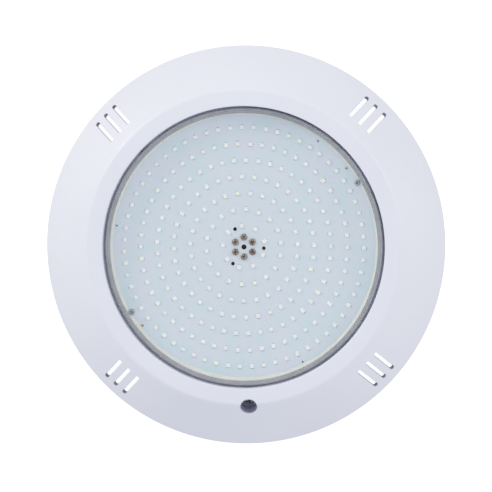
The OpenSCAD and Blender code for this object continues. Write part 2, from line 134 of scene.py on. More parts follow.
class Shape:
    """A mesh in the making: points in millimetres, faces, and a paint number for each face."""

    def __init__(self):
        self.points = []
        self.faces = []
        self.paints = []
        self.tints = []

    def add(self, points, faces, paint=0):
        """Adds points and the faces between them, in one paint."""
        first = len(self.points)
        self.points += [Vector(p) for p in points]
        self.faces += [[first + i for i in face] for face in faces]
        self.paints += [paint] * len(faces)
        return self

    def copy_in(self, other, matrix=IN_PLACE, tint=None):
        """Adds another shape, moved by a matrix, with a tint of its own."""
        first = len(self.points)
        self.points += [matrix @ p for p in other.points]
        self.faces += [[first + i for i in face] for face in other.faces]
        self.paints += other.paints
        self.tints += [tint] * len(other.faces)
        return self

    def build(self, name, looks, smooth=35, weighted=True):
        """The object: smooth where faces meet at less than so many degrees."""
        mesh = bpy.data.meshes.new(name)
        mesh.from_pydata([p * MM for p in self.points], [], self.faces)
        mesh.polygons.foreach_set("material_index", self.paints)
        for look in looks:
            mesh.materials.append(look)
        if self.tints and self.tints[0] is not None:
            tint = mesh.color_attributes.new("tint", "FLOAT_COLOR", "CORNER")
            for face, colour in zip(mesh.polygons, self.tints):
                for corner in face.loop_indices:
                    tint.data[corner].color = colour
        work = bmesh.new()
        work.from_mesh(mesh)
        bmesh.ops.recalc_face_normals(work, faces=work.faces)
        work.to_mesh(mesh)
        work.free()
        thing = bpy.data.objects.new(name, mesh)
        bpy.context.scene.collection.objects.link(thing)
        shade(thing, smooth, weighted)
        return thing


def shade(thing, smooth, weighted=True):
    """Shades smooth across edges flatter than so many degrees."""
    mesh = thing.data
    mesh.shade_smooth()
    mesh.set_sharp_from_angle(angle=math.radians(smooth))
    if weighted:
        modifier = thing.modifiers.new("even_normals", "WEIGHTED_NORMAL")
        modifier.keep_sharp = True


def arc(centre, radius, start, end, steps):
    """Points on an arc between two angles in degrees."""
    angles = [math.radians(start + (end - start) * i / steps) for i in range(steps + 1)]
    return [Vector((centre[0] + radius * math.cos(a), centre[1] + radius * math.sin(a)))
            for a in angles]


def rounded(corners, steps):
    """A closed outline whose corners (x, y, radius) are rounded where they have a radius."""
    outline = []
    count = len(corners)
    for i, (x, y, radius) in enumerate(corners):
        here = Vector((x, y))
        if not radius:
            outline.append(here)
            continue
        before = Vector(corners[i - 1][:2]) - here
        after = Vector(corners[(i + 1) % count][:2]) - here
        reach = radius / math.tan(before.angle(after) / 2)
        start = here + before.normalized() * reach
        end = here + after.normalized() * reach
        middle = here + (before.normalized() + after.normalized()).normalized() * (
            radius / math.sin(before.angle(after) / 2))
        for step in range(steps + 1):
            share = step / steps
            point = start.lerp(end, share) - middle
            outline.append(middle + point.normalized() * radius)
    return outline


def lathe(outline, segments, closed=True):
    """Turns an outline of (radius, height) round Z. Points on the axis become one point."""
    points, rows = [], []
    for radius, height in outline:
        if radius < 1e-6:
            rows.append([len(points)] * segments)
            points.append((0, 0, height))
            continue
        rows.append(range(len(points), len(points) + segments))
        for i in range(segments):
            angle = math.tau * i / segments
            points.append((radius * math.cos(angle), radius * math.sin(angle), height))
    faces = []
    for row in range(len(rows) if closed else len(rows) - 1):
        upper, lower = rows[row], rows[(row + 1) % len(rows)]
        for i in range(segments):
            j = (i + 1) % segments
            face = [upper[i], upper[j], lower[j], lower[i]]
            face = [p for k, p in enumerate(face) if p not in face[:k]]
            if len(face) > 2:
                faces.append(face)
    return Shape().add(points, faces)


def loft(loops, paint=0, caps=True):
    """Joins loops that have the same number of points, with or without caps at both ends."""
    count = len(loops[0])
    points = [p for loop in loops for p in loop]
    faces = []
    for row in range(len(loops) - 1):
        for i in range(count):
            j = (i + 1) % count
            faces.append([row * count + i, row * count + j,
                          (row + 1) * count + j, (row + 1) * count + i])
    if caps:
        faces.append(list(range(count))[::-1])
        faces.append([(len(loops) - 1) * count + i for i in range(count)])
    return Shape().add(points, faces, paint)


def rounded_box_loop(length, width, corner, height):
    """A loop round a rectangle with rounded corners, at a height."""
    steps = 3
    loop = []
    for sx, sy, start in ((1, 1, 0), (-1, 1, 90), (-1, -1, 180), (1, -1, 270)):
        middle = (sx * (length / 2 - corner), sy * (width / 2 - corner))
        loop += [(p.x, p.y, height) for p in arc(middle, corner, start, start + 90, steps)]
    return loop


def circle_loop(radius, height, steps):
    """A level circle round the axis."""
    return [(radius * math.cos(math.tau * i / steps), radius * math.sin(math.tau * i / steps),
             height) for i in range(steps)]


def cut(thing, tool, operation="DIFFERENCE"):
    """Cuts or joins a closed mesh with another, and removes the other."""
    modifier = thing.modifiers.new("cut", "BOOLEAN")
    modifier.operation = operation
    modifier.solver = "MANIFOLD"
    modifier.object = tool
    bpy.context.view_layer.update()
    graph = bpy.context.evaluated_depsgraph_get()
    result = bpy.data.meshes.new_from_object(thing.evaluated_get(graph))
    thing.modifiers.clear()
    thing.data = result
    bpy.data.objects.remove(tool)
    return thing


def stand_for(piece, body, slot, *nodes):
    """The piece rides on a body, and replaces any CAD nodes that are named. The slot is not used.
    """
    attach(piece, body)
    if nodes:
        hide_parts(*nodes)
    return piece


# ---------------------------------------------------------------- materials

class Look:
    """A node material in the making, on one Principled shader. Lengths are in metres."""

    def __init__(self, name, **sockets):
        self.material = bpy.data.materials.new(name)
        self.material.use_nodes = True
        self.nodes = self.material.node_tree.nodes
        self.links = self.material.node_tree.links
        self.shader = self.nodes["Principled BSDF"]
        self.place = self.nodes.new("ShaderNodeTexCoord").outputs["Object"]
        self.last_bump = None
        for socket, value in sockets.items():
            self.set(socket.replace("_", " "), value)

    def plug(self, target, value):
        """Links a node's output to a socket, or gives the socket a value of its own."""
        if isinstance(value, bpy.types.NodeSocket):
            self.links.new(value, target)
        else:
            target.default_value = value

    def set(self, socket, value):
        """Plugs a value into a socket of the shader."""
        self.plug(self.shader.inputs[socket], value)

    def add(self, kind, settings=None, **inputs):
        """Adds a node, with its settings and its inputs."""
        node = self.nodes.new("ShaderNode" + kind)
        for key, value in (settings or {}).items():
            setattr(node, key, value)
        for key, value in inputs.items():
            self.plug(node.inputs[key.replace("_", " ")], value)
        return node

    def stretched(self, x, y, z):
        """Coordinates scaled differently along each axis."""
        return self.add("Mapping", Vector=self.place, Scale=(x, y, z)).outputs["Vector"]

    def noise(self, size, detail=3, roughness=0.5, place=None):
        """Noise from 0 to 1 with features of about this size."""
        return self.add("TexNoise", Vector=place or self.place, Scale=1 / size, Detail=detail,
                        Roughness=roughness).outputs["Fac"]

    def spread(self, value, low, high, start=0.3, end=0.7):
        """Maps the usual range of a noise to low..high."""
        return self.add("MapRange", Value=value, From_Min=start, From_Max=end, To_Min=low,
                        To_Max=high).outputs["Result"]

    def ramp(self, value, *stops):
        """A colour for a number: stops of (position, (red, green, blue))."""
        node = self.add("ValToRGB", Fac=value)
        marks = node.color_ramp.elements
        while len(marks) < len(stops):
            marks.new(0.5)
        for mark, (position, colour) in zip(marks, stops):
            mark.position = position
            mark.color = (*colour, 1)
        return node.outputs["Color"]

    def mix(self, share, first, second, kind="MIX"):
        """Mixes two colours. The node's colour sockets are inputs 6 and 7 and output 2."""
        node = self.add("Mix", {"data_type": "RGBA", "blend_type": kind})
        for index, value in ((0, share), (6, first), (7, second)):
            self.plug(node.inputs[index], (*value, 1) if isinstance(value, tuple) else value)
        return node.outputs[2]

    def math(self, kind, first, second):
        """One step of arithmetic on two numbers."""
        node = self.add("Math", {"operation": kind})
        for target, value in zip(node.inputs, (first, second)):
            self.plug(target, value)
        return node.outputs["Value"]

    def bump(self, height, depth):
        """Adds relief of this depth on top of the relief so far."""
        node = self.add("Bump", Height=height, Distance=depth, Strength=1.0)
        if self.last_bump:
            self.links.new(self.last_bump, node.inputs["Normal"])
        self.last_bump = node.outputs["Normal"]
        self.set("Normal", self.last_bump)

    def let_through(self, share, colour=(1, 1, 1, 1)):
        """Fades the shader to plain transparency by this share."""
        clear = self.add("BsdfTransparent", Color=colour)
        either = self.add("MixShader")
        for target, value in zip(either.inputs, (share, self.shader.outputs[0],
                                                 clear.outputs[0])):
            self.links.new(value, target)
        self.links.new(either.outputs[0], self.nodes["Material Output"].inputs["Surface"])


def grained(name, dark, light, patch, rough, grain, depth, **sockets):
    """A solid material: patches between two colours, uneven gloss, and a fine grain."""
    look = Look(name, **sockets)
    look.set("Base Color", look.ramp(look.noise(patch, 4), (0.32, dark), (0.68, light)))
    look.set("Roughness", look.spread(look.noise(patch / 6, 3), *rough))
    look.bump(look.noise(grain, 2), depth)
    return look


def white_plastic():
    """Cool white moulded plastic with a faint orange peel."""
    look = Look("white_plastic", Specular_IOR_Level=0.45)
    clouds = look.noise(0.07, 3, 0.55)
    look.set("Base Color", look.ramp(clouds, (0.35, (0.795, 0.812, 0.92)),
                                     (0.65, (0.815, 0.832, 0.935))))
    look.set("Roughness", look.spread(look.noise(0.012, 4, 0.6), 0.3, 0.42))
    look.bump(look.noise(0.03, 2), 0.00005)
    look.bump(look.noise(0.00045, 3, 0.6), 0.000008)
    return look.material


def clear_plastic():
    """Clear polycarbonate. Light passes it to what is under it; the eye sees its gloss.

    The index is lower than the real 1.58, so the lens mirrors the white room only a little.
    """
    look = Look("clear_plastic", Transmission_Weight=1.0, IOR=1.27)
    look.set("Base Color", look.ramp(look.noise(0.05, 2), (0.3, (0.985, 0.992, 0.995)),
                                     (0.7, (0.99, 0.996, 1.0))))
    look.set("Roughness", look.spread(look.noise(0.004, 4, 0.6), 0.0, 0.03))
    look.bump(look.noise(0.04, 2), 0.00002)
    rays = look.add("LightPath").outputs
    passing = look.math("MAXIMUM", rays["Is Shadow Ray"], rays["Is Diffuse Ray"])
    look.let_through(passing, (0.985, 0.99, 0.995, 1))
    return look.material


def rings_about_axis(look, pitch):
    """A wave that repeats along the radius with this pitch."""
    wave = look.add("TexWave", {"wave_type": "RINGS", "rings_direction": "Z",
                                "wave_profile": "SIN"},
                    Vector=look.place, Scale=math.tau / 20 / pitch, Distortion=0.4, Detail=1)
    return wave.outputs["Fac"]


def grey_silicone():
    """Grey silicone with fine moulded lines round the axis."""
    look = Look("grey_silicone", Specular_IOR_Level=0.5)
    patches = look.ramp(look.noise(0.006, 4), (0.3, (0.42, 0.435, 0.47)),
                        (0.7, (0.51, 0.52, 0.55)))
    lines = rings_about_axis(look, 0.0006)
    look.set("Base Color", look.mix(look.spread(lines, 0.0, 0.3, 0, 1), patches,
                                    (0.32, 0.325, 0.36)))
    look.set("Roughness", look.spread(look.noise(0.003), 0.35, 0.55))
    look.bump(lines, 0.00006)
    return look.material


def cream_sealant():
    """Sealant laid by hand: cream, greenish and pinkish stretches, and a lumpy surface."""
    look = Look("cream_sealant", Specular_IOR_Level=0.4)
    look.set("Base Color", look.ramp(look.noise(0.011, 4, 0.65), (0.3, (0.7, 0.76, 0.71)),
                                     (0.5, (0.78, 0.79, 0.74)), (0.7, (0.82, 0.77, 0.74))))
    look.set("Roughness", look.spread(look.noise(0.003), 0.35, 0.6))
    look.bump(look.noise(0.0035, 3), 0.00025)
    look.bump(look.noise(0.0006, 2), 0.00004)
    return look.material


def board_mask():
    """Pale solder mask: soft cool blotches that even out towards the middle."""
    look = Look("board_mask", Specular_IOR_Level=0.35)
    blotches = look.ramp(look.noise(0.016, 3, 0.6), (0.36, (0.63, 0.77, 0.825)),
                         (0.5, (0.68, 0.765, 0.84)), (0.64, (0.725, 0.75, 0.86)))
    middle = look.add("TexGradient", {"gradient_type": "SPHERICAL"},
                      Vector=look.stretched(8, 8, 0)).outputs["Fac"]
    look.set("Base Color", look.mix(middle, blotches, (0.685, 0.745, 0.825)))
    look.set("Roughness", look.spread(look.noise(0.002, 3), 0.38, 0.55))
    look.bump(look.noise(0.02, 2), 0.00004)
    look.bump(look.noise(0.0004, 2), 0.000006)
    return look.material


def own_tint(look, amount, colour):
    """The colour times the tint that a copy has of its own."""
    tint = look.add("VertexColor", {"layer_name": "tint"}).outputs["Color"]
    return look.mix(amount, colour, tint, "MULTIPLY")


def tinted(name, base, amount, rough, **sockets):
    """A light package's plastic or window, with the tint that each package has of its own."""
    look = Look(name, **sockets)
    patches = look.ramp(look.noise(0.0009, 2), (0.35, [0.94 * c for c in base]), (0.65, base))
    look.set("Base Color", own_tint(look, amount, patches))
    look.set("Roughness", look.spread(look.noise(0.0012), *rough))
    look.bump(look.noise(0.0003, 2), 0.00001)
    return look.material


def metal(name, dark, light, patch, rough, toned=False):
    """A metal: tarnish patches, uneven polish and fine turned lines."""
    scratch, depth = 0.00025, 0.000012
    look = Look(name, Metallic=1.0)
    colour = look.ramp(look.noise(patch, 4, 0.65), (0.34, dark), (0.66, light))
    look.set("Base Color", own_tint(look, 1.0, colour) if toned else colour)
    look.set("Roughness", look.spread(look.noise(patch / 3, 4), *rough))
    look.bump(look.noise(scratch, 4, 0.7, look.stretched(1, 1, 6)), depth)
    return look.material


WHITE = white_plastic()
# Painted shade: a darker, bluer white for the inside of the locking screw's well and the slots'
# walls, where shade falls
SHADED_WHITE = grained("painted_shade_white_plastic", (0.46, 0.46, 0.6), (0.56, 0.56, 0.7), 0.002,
                       (0.4, 0.55), 0.0004, 0.00001, Specular_IOR_Level=0.4).material
CLEAR = clear_plastic()
SILICONE = grey_silicone()
SEALANT = cream_sealant()
MASK = board_mask()
PACKAGE = tinted("led_package", (0.97, 0.985, 1.0), 0.7, (0.25, 0.4))
WINDOW = tinted("led_window", (0.97, 0.985, 1.0), 1.0, (0.1, 0.25), Coat_Weight=0.5)
SOLDER = metal("solder", (0.5, 0.53, 0.58), (0.68, 0.71, 0.76), 0.0007, (0.45, 0.7))
TINNED = metal("tinned_rims", (0.78, 0.8, 0.84), (0.9, 0.92, 0.95), 0.001, (0.35, 0.5))
NICKEL = metal("toned_nickel", (0.2, 0.17, 0.15), (0.5, 0.45, 0.4), 0.0022, (0.18, 0.4),
               toned=True)
TARNISH = metal("tarnished_metal", (0.07, 0.055, 0.05), (0.2, 0.17, 0.15), 0.0012, (0.4, 0.6))
STEEL = metal("stainless_steel", (0.5, 0.5, 0.51), (0.64, 0.64, 0.65), 0.004, (0.22, 0.38))
BRASS = metal("brass", (0.62, 0.45, 0.2), (0.8, 0.62, 0.3), 0.004, (0.2, 0.4))
BLOCK_NYLON = grained("matt_black_nylon", (0.009, 0.011, 0.016), (0.014, 0.017, 0.023), 0.004,
                      (0.6, 0.8), 0.0005, 0.00002, Specular_IOR_Level=0.08).material
NYLON = grained("black_nylon", (0.016, 0.016, 0.018), (0.03, 0.03, 0.033), 0.006,
                (0.38, 0.55), 0.0005, 0.00003).material
RUBBER = grained("black_rubber", (0.012, 0.012, 0.012), (0.026, 0.026, 0.026), 0.003,
                 (0.55, 0.75), 0.0004, 0.00003).material
EPOXY = grained("black_epoxy", (0.02, 0.02, 0.022), (0.035, 0.035, 0.038), 0.002,
                (0.4, 0.6), 0.00025, 0.00002).material
GREEN_BOARD = grained("green_board", (0.012, 0.1, 0.04), (0.02, 0.15, 0.06), 0.004,
                      (0.2, 0.35), 0.0008, 0.00003, Coat_Weight=0.3).material
SLEEVE = grained("capacitor_sleeve", (0.02, 0.026, 0.07), (0.035, 0.045, 0.1), 0.003,
                 (0.25, 0.4), 0.0006, 0.00002, Coat_Weight=0.2).material
FERRITE = grained("ferrite", (0.03, 0.03, 0.033), (0.06, 0.058, 0.058), 0.0015,
                  (0.5, 0.7), 0.0003, 0.00005).material
GREEN_PLASTIC = grained("green_plastic", (0.02, 0.17, 0.06), (0.03, 0.22, 0.09), 0.004,
                        (0.35, 0.5), 0.0004, 0.00002).material
NATURAL_NYLON = grained("natural_nylon", (0.6, 0.58, 0.5), (0.7, 0.68, 0.6), 0.004,
                        (0.35, 0.5), 0.0005, 0.00003).material
INSULATION = grained("wire_insulation", (0.32, 0.018, 0.015), (0.45, 0.03, 0.025), 0.004,
                     (0.3, 0.45), 0.0006, 0.00002).material
RESIN = grained("potting_resin", (0.48, 0.47, 0.36), (0.58, 0.56, 0.44), 0.012,
                (0.12, 0.3), 0.005, 0.0001, Coat_Weight=0.4).material


# --------------------------------------------------------------- trim ring

def skirt(depth, steps=24):
    """The skirt's outline from the crease down to the rim, this deep below its surface."""
    start = 90 - math.degrees(SLOPE - SKIRT_HALF)
    end = 90 - math.degrees(SLOPE + SKIRT_HALF)
    return arc(CROWN_CENTRE, CROWN_R - depth, start, end, steps)


def surface_z(radius):
    """Height of the ring's front surface at a radius, with its land taken as a plain cone."""
    if radius < CREASE_R:
        share = (CREASE_R - radius) / (CREASE_R - OPENING_R)
        return CREASE_Z + (FRONT_Z - CREASE_Z) * share
    across = radius - CROWN_CENTRE.x
    return CROWN_CENTRE.y + math.sqrt(CROWN_R ** 2 - across ** 2)


def to_surface(point, direction):
    """Moves a point along a direction until it lies on the ring's front surface."""
    for _ in range(12):
        gap = point.z - surface_z(math.hypot(point.x, point.y))
        point = point - direction * gap * 0.8
    return point


def ring_outline():
    """Section of the ring: inner wall, lip, land, soft crease, crowned skirt and rim."""
    lip, crease_steps = 0.8, 10
    top_slope = SLOPE - SKIRT_HALF
    start = CREASE_R - CREASE_FILLET * math.tan(top_slope / 2)
    land = [Vector((OPENING_R + lip + (start - OPENING_R - lip) * i / 5,
                    FRONT_Z - (FRONT_Z - CREASE_Z) * (i / 5) ** 1.5)) for i in range(1, 5)]
    rim = rounded([(RING_R - 8, RIM_Z + 9, 0), (RING_R, RIM_Z, 2.2), (RING_R, RING_FOOT, 0.6),
                   (RING_R - WALL, RING_FOOT, 0.4), (RING_R - WALL, RIM_Z + 1, 0)], 6)[1:-1]
    outer = [p for p in skirt(0) if p.y > RIM_Z + 1.8]
    inner = [p for p in skirt(WALL, 14)[::-1] if p.y > RIM_Z]
    return (
        [Vector((OPENING_R, LIP_Z))]
        + arc((OPENING_R + lip, FRONT_Z - lip), lip, 180, 90, 6)
        + land
        + arc((start, CREASE_Z - CREASE_FILLET), CREASE_FILLET, 90,
              90 - math.degrees(top_slope), crease_steps)
        + outer[1:]
        + rim
        + inner
        + [Vector((OPENING_R + WALL, FRONT_Z - WALL - 0.4)), Vector((OPENING_R + WALL, LIP_Z))]
    )


# How far out and how far up each loop of an opening's rounded edge lies, in millimetres.
# The slots have the same edge, but smaller
EDGE_ROUNDING = [(0.85, 0.14), (0.5, 0.0), (0.3, -0.06), (0.14, -0.17), (0.04, -0.33), (0, -0.5)]
EDGE_FLARE = EDGE_ROUNDING[0][0]
SLOT_ROUNDING = 0.45
# The rows of faces of a slot's cutter that leave the ring white; the walls below them get painted
# shade
SLOT_WHITE_ROWS = 3


def slot_cutter(turn, offset):
    """A slot's cutter: a stadium at right angles to the skirt, with a rounded front edge."""
    out = Vector((math.cos(turn), math.sin(turn), 0))
    side = Vector((-math.sin(turn), math.cos(turn), 0))
    down = out * math.cos(SLOPE) + Vector((0, 0, -math.sin(SLOPE)))
    normal = out * math.sin(SLOPE) + Vector((0, 0, math.cos(SLOPE)))
    drop = (SLOT_MID_R - CREASE_R) * math.tan(SLOPE)
    middle = out * SLOT_MID_R + side * offset + Vector((0, 0, CREASE_Z - drop))
    half = (SLOT_LENGTH / math.cos(SLOPE) - SLOT_WIDTH) / 2
    round_steps, straight_steps = 14, 12
    above, below = 3, -8

    def loop(grow, height, follow):
        points = []
        radius = SLOT_WIDTH / 2 + grow
        for end, start in ((1, -90), (-1, 90)):
            points += arc((end * half, 0), radius, start, start + 180, round_steps)
            points += [Vector((end * half * (1 - 2 * k / straight_steps), end * radius))
                       for k in range(1, straight_steps)]
        placed = [middle + down * p.x + side * p.y for p in points]
        if follow:
            placed = [to_surface(p, normal) for p in placed]
        return [p + normal * height for p in placed]

    edge = [loop(grow * SLOT_ROUNDING, height * SLOT_ROUNDING, True)
            for grow, height in EDGE_ROUNDING]
    cutter = loft([loop(EDGE_FLARE * SLOT_ROUNDING, above, False)] + edge
                  + [loop(0, below, False)])
    # The slot's walls, from the lower part of its rounded edge down, get painted shade
    first_shaded = SLOT_WHITE_ROWS * len(edge[0])
    cutter.paints = [int(i >= first_shaded) for i in range(len(cutter.faces))]
    return cutter


def lock_axis_point(distance):
    """The point this far up the locking screw's axis."""
    return LOCK_FOOT + Vector((0, -math.sin(LOCK_TILT), math.cos(LOCK_TILT))) * distance


def lock_matrix(distance=0):
    """The frame of the locking screw's axis, with its origin this far up it."""
    return Matrix.Translation(lock_axis_point(distance)) @ Matrix.Rotation(LOCK_TILT, 4, "X")


def well_loop(radius, lift, distance=None):
    """A circle round the locking screw's axis, on the ring's surface or at a distance."""
    matrix = lock_matrix()
    up = matrix.to_3x3() @ Vector((0, 0, 1))
    loop = []
    for x, y, _ in circle_loop(radius, 0, WELL_STEPS):
        if distance is None:
            loop.append(to_surface(matrix @ Vector((x, y, 32)), up) + up * lift)
        else:
            loop.append(matrix @ Vector((x, y, distance + lift)))
    return loop


def well_mouth(grow, lift):
    """The well's edge on the ring's surface: an ellipse as seen from the front."""
    cylinder = well_loop(WELL_R, 0)
    low, high = min(p.y for p in cylinder), max(p.y for p in cylinder)
    across, along, middle = WELL_R + grow, (high - low) / 2 + grow, (high + low) / 2
    loop = [Vector((across * math.cos(t), middle + along * math.sin(t), 0))
            for t in (math.tau * i / WELL_STEPS for i in range(WELL_STEPS))]
    return [Vector((p.x, p.y, surface_z(math.hypot(p.x, p.y)) + lift)) for p in loop]


def ring_rib(turn):
    """A rib behind the land and the skirt."""
    half = 0.9
    inner = OPENING_R + WALL / 2
    middle = skirt(WALL / 2, 10)
    outline = [Vector((inner, LIP_Z + 1)), Vector((inner, FRONT_Z - 1.6)),
               Vector((CREASE_R, FRONT_Z - 1.9)), middle[1], middle[3],
               middle[3] - Vector((8, 5))]
    placed = Matrix.Rotation(turn, 4, "Z")
    return loft([[placed @ Vector((p.x, y, p.y)) for p in outline] for y in (-half, half)])


def at_ear(angle):
    """The move from the axis to the ear at this angle."""
    return Matrix.Rotation(angle, 4, "Z") @ Matrix.Translation((EAR_R, 0, 0))


def pillar(radius, low, high):
    """An upright round bar on the axis."""
    steps = 40
    return loft([circle_loop(radius, low, steps), circle_loop(radius, high, steps)])


def make_trim_ring():
    """The shell, joined with its ribs, bosses and well, and cut by all its openings."""
    ring = lathe(ring_outline(), 360).build("trim_ring_shell", [WHITE, SHADED_WHITE],
                                            weighted=False)
    ears = [math.radians(45 + 90 * i) for i in range(4)]
    boss_r, boss_foot, boss_hole_r, boss_hole_top = 4, 20, 1.5, 32
    backing = Shape()
    for i in range(8):
        backing.copy_in(ring_rib(math.radians(22.5 + 45 * i)))
    for angle in ears:
        backing.copy_in(pillar(boss_r, boss_foot, FRONT_Z - 1.6), at_ear(angle))
    tube_r, seat_r, hole_r = WELL_R + 1.9, 6, 3.6
    tube = loft([well_loop(tube_r, 0, INSERT_TOP - 1), well_loop(tube_r, -0.8)])
    seat = loft([well_loop(seat_r, 0, INSERT_FOOT), well_loop(seat_r, 0, INSERT_TOP + 1)])
    for shape in (backing, tube, seat):
        cut(ring, shape.build("tool", [WHITE]), "UNION")
    openings = Shape()
    for angle in ears:
        for i in range(SLOTS_PER_GROUP):
            offset = (i - (SLOTS_PER_GROUP - 1) / 2) * SLOT_PITCH
            openings.copy_in(slot_cutter(angle, offset))
    for angle in ears:
        openings.copy_in(pillar(boss_hole_r, boss_foot - 3, boss_hole_top), at_ear(angle))
    above, chamfer = 40, 0.3
    well = loft([well_loop(WELL_R + EDGE_FLARE, 0, above)]
                + [well_mouth(grow, lift) for grow, lift in EDGE_ROUNDING]
                + [well_loop(WELL_R, 0, INSERT_TOP + 4), well_loop(WELL_R, 0, INSERT_TOP + chamfer),
                   well_loop(WELL_R - chamfer, 0, INSERT_TOP)])
    hole = loft([well_loop(hole_r, 0, INSERT_FOOT - 5), well_loop(hole_r, 0, INSERT_TOP + 3)])
    # The well's inside and its rounded mouth get painted shade
    well.paints = [1] * len(well.faces)
    for shape in (openings, well, hole):
        cut(ring, shape.build("tool", [WHITE, SHADED_WHITE]))
    shade(ring, 40)
    return stand_for(ring, "lamp", "white_abs", "trim_ring")


# ------------------------------------------------------------ lens and seals

def make_lens():
    """The cap: a flat disc with a chamfered edge and a short skirt."""
    chamfer, wall = 1.4, 1.1
    under = GASKET_HIGH.z
    outline = [(0, LENS_TOP, 0), (LENS_R - chamfer, LENS_TOP, 0.5),
               (LENS_R, LENS_TOP - chamfer, 0.5), (LENS_R, LENS_FOOT, 0.3),
               (LENS_R - wall, LENS_FOOT, 0.3), (LENS_R - wall, under, 0.3), (0, under, 0)]
    lens = lathe(rounded(outline, 4), 360, closed=False).build("lens_cap", [CLEAR], 50)
    return stand_for(lens, "lamp", "clear_lens", "lens")


def make_gasket():
    """The gasket: a flat band with three soft beads on top."""
    band = 2.95
    inner = GASKET_HIGH.x - band
    outer = GASKET_HIGH.x
    low, high = GASKET_LOW.z, GASKET_HIGH.z
    beads, steps = 3, 8
    top = []
    for i in range(beads * steps + 1):
        share = i / (beads * steps)
        wave = abs(math.sin(share * beads * math.pi))
        top.append(Vector((inner + (outer - inner) * share, high - 0.35 * (1 - wave))))
    outline = [Vector((inner, low))] + top + [Vector((outer, low))]
    gasket = lathe(outline, 240).build("gasket_beaded", [SILICONE], 60)
    return stand_for(gasket, "lamp", "grey_silicone", "lens_gasket")


def make_sealant():
    """The bead laid by hand round the board's edge, uneven, with gaps at the board's screws.

    It is widest at the bottom, as in the photograph.
    """
    outer = SEALANT_HIGH.x
    low = SEALANT_LOW.z
    gaps = [math.atan2(box[0].y + box[1].y, box[0].x + box[1].x)
            for box in solids("board_screws")]
    mean_width, mean_height, lopsided, widest = 1.8, 1.6, 0.4, math.radians(-110)
    steps, waves = 720, [(5, 0.08), (13, 0.1), (29, 0.07), (61, 0.04)]
    phases = [chance.uniform(0, math.tau) for _ in waves]
    loops = []
    for i in range(steps):
        angle = math.tau * i / steps
        wobble = sum(size * math.sin(count * angle + phase)
                     for (count, size), phase in zip(waves, phases))
        near = min(abs(math.remainder(angle - gap, math.tau)) for gap in gaps) * outer
        thin = max(0.0, min(1.0, (near - 1.6) / 1.6))
        uneven = lopsided * math.cos(angle - widest) + wobble
        width = (mean_width + uneven) * thin + 0.02
        height = (mean_height + wobble * 0.8) * thin + 0.02
        section = [(outer, low), (outer, low + height)]
        section += [(outer - width * math.sin(math.radians(t)),
                     low + height * (1 - math.sin(math.radians(t))) ** 1.1 * 0.72
                     + 0.1 * thin * math.sin(math.radians(2 * t)))
                    for t in (8, 20, 35, 50, 65, 80)]
        section += [(outer - width - 0.03, low)]
        loops.append([(r * math.cos(angle), r * math.sin(angle), z) for r, z in section])
    bead = loft(loops + [loops[0]], caps=False).build("sealant_bead", [SEALANT], 60)
    join_doubles(bead)
    return stand_for(bead, "lamp", "cream_sealant", "edge_sealant")


def join_doubles(thing):
    """Joins points that lie on each other, and turns all faces outward."""
    work = bmesh.new()
    work.from_mesh(thing.data)
    bmesh.ops.remove_doubles(work, verts=work.verts, dist=1e-7)
    bmesh.ops.recalc_face_normals(work, faces=work.faces)
    work.to_mesh(thing.data)
    work.free()


# --------------------------------------------------------------- light board

def package_shape(length, width, height):
    """A light package: moulded body with a cup, its window, and solder at both ends."""
    # How much shorter and narrower each loop is, its corner's radius, and its height
    outside_and_cup = [(0.1, 0.1, 0.6, 0.0), (0, 0, 0.65, 0.12),
                       (0.04, 0.04, 0.65, height - 0.16), (0.12, 0.12, 0.65, height - 0.05),
                       (0.28, 0.28, 0.6, height), (0.8, 0.56, 0.55, height),
                       (0.9, 0.66, 0.55, height - 0.05), (1.2, 0.96, 0.5, height - 0.3)]
    window = [(0.98, 0.74, 0.52, height - 0.13), (1.2, 0.96, 0.48, height - 0.1),
              (1.9, 1.5, 0.3, height - 0.09)]
    shape = Shape()
    for paint, loops in enumerate((outside_and_cup, window)):
        part = loft([rounded_box_loop(length - shorter, width - narrower, corner, z)
                     for shorter, narrower, corner, z in loops], paint)
        shape.copy_in(part)
    for side, reach in ((1, 0.4), (-1, 0.22)):
        # Where each section of the solder is, its half widths below and above, its heights
        sections = [(side * (length / 2 - 0.12), 0.36, 0.34, 0.02, 0.42),
                    (side * length / 2 + side * 0.06, 0.39, 0.33, 0.02, 0.3),
                    (side * (length / 2 + reach), 0.36, 0.33, 0.0, 0.05)]
        bar = loft([[(x, -width * foot, low), (x, width * foot, low),
                     (x, width * top, high), (x, -width * top, high)]
                    for x, foot, top, low, high in sections], 2)
        shape.copy_in(bar)
    return shape


# A light package's length, width and height
PACKAGE_SIZE = (3.1, 2.7, 0.7)

# What the light packages take at random: a tint, and how far they stray in turn (degrees),
# place (millimetres), size and brightness
TINTS = [(1, 1, 1), (0.97, 0.99, 1), (0.94, 0.98, 1), (0.93, 1, 0.96), (1, 0.94, 0.95),
         (0.97, 0.97, 1), (0.98, 1, 0.9), (0.91, 0.97, 1), (0.95, 0.97, 1)]
TURN_STRAY = 4
PLACE_STRAY = 0.12
SIZE_STRAY = (0.92, 1.06)
SHADE_STRAY = (0.96, 1.0)


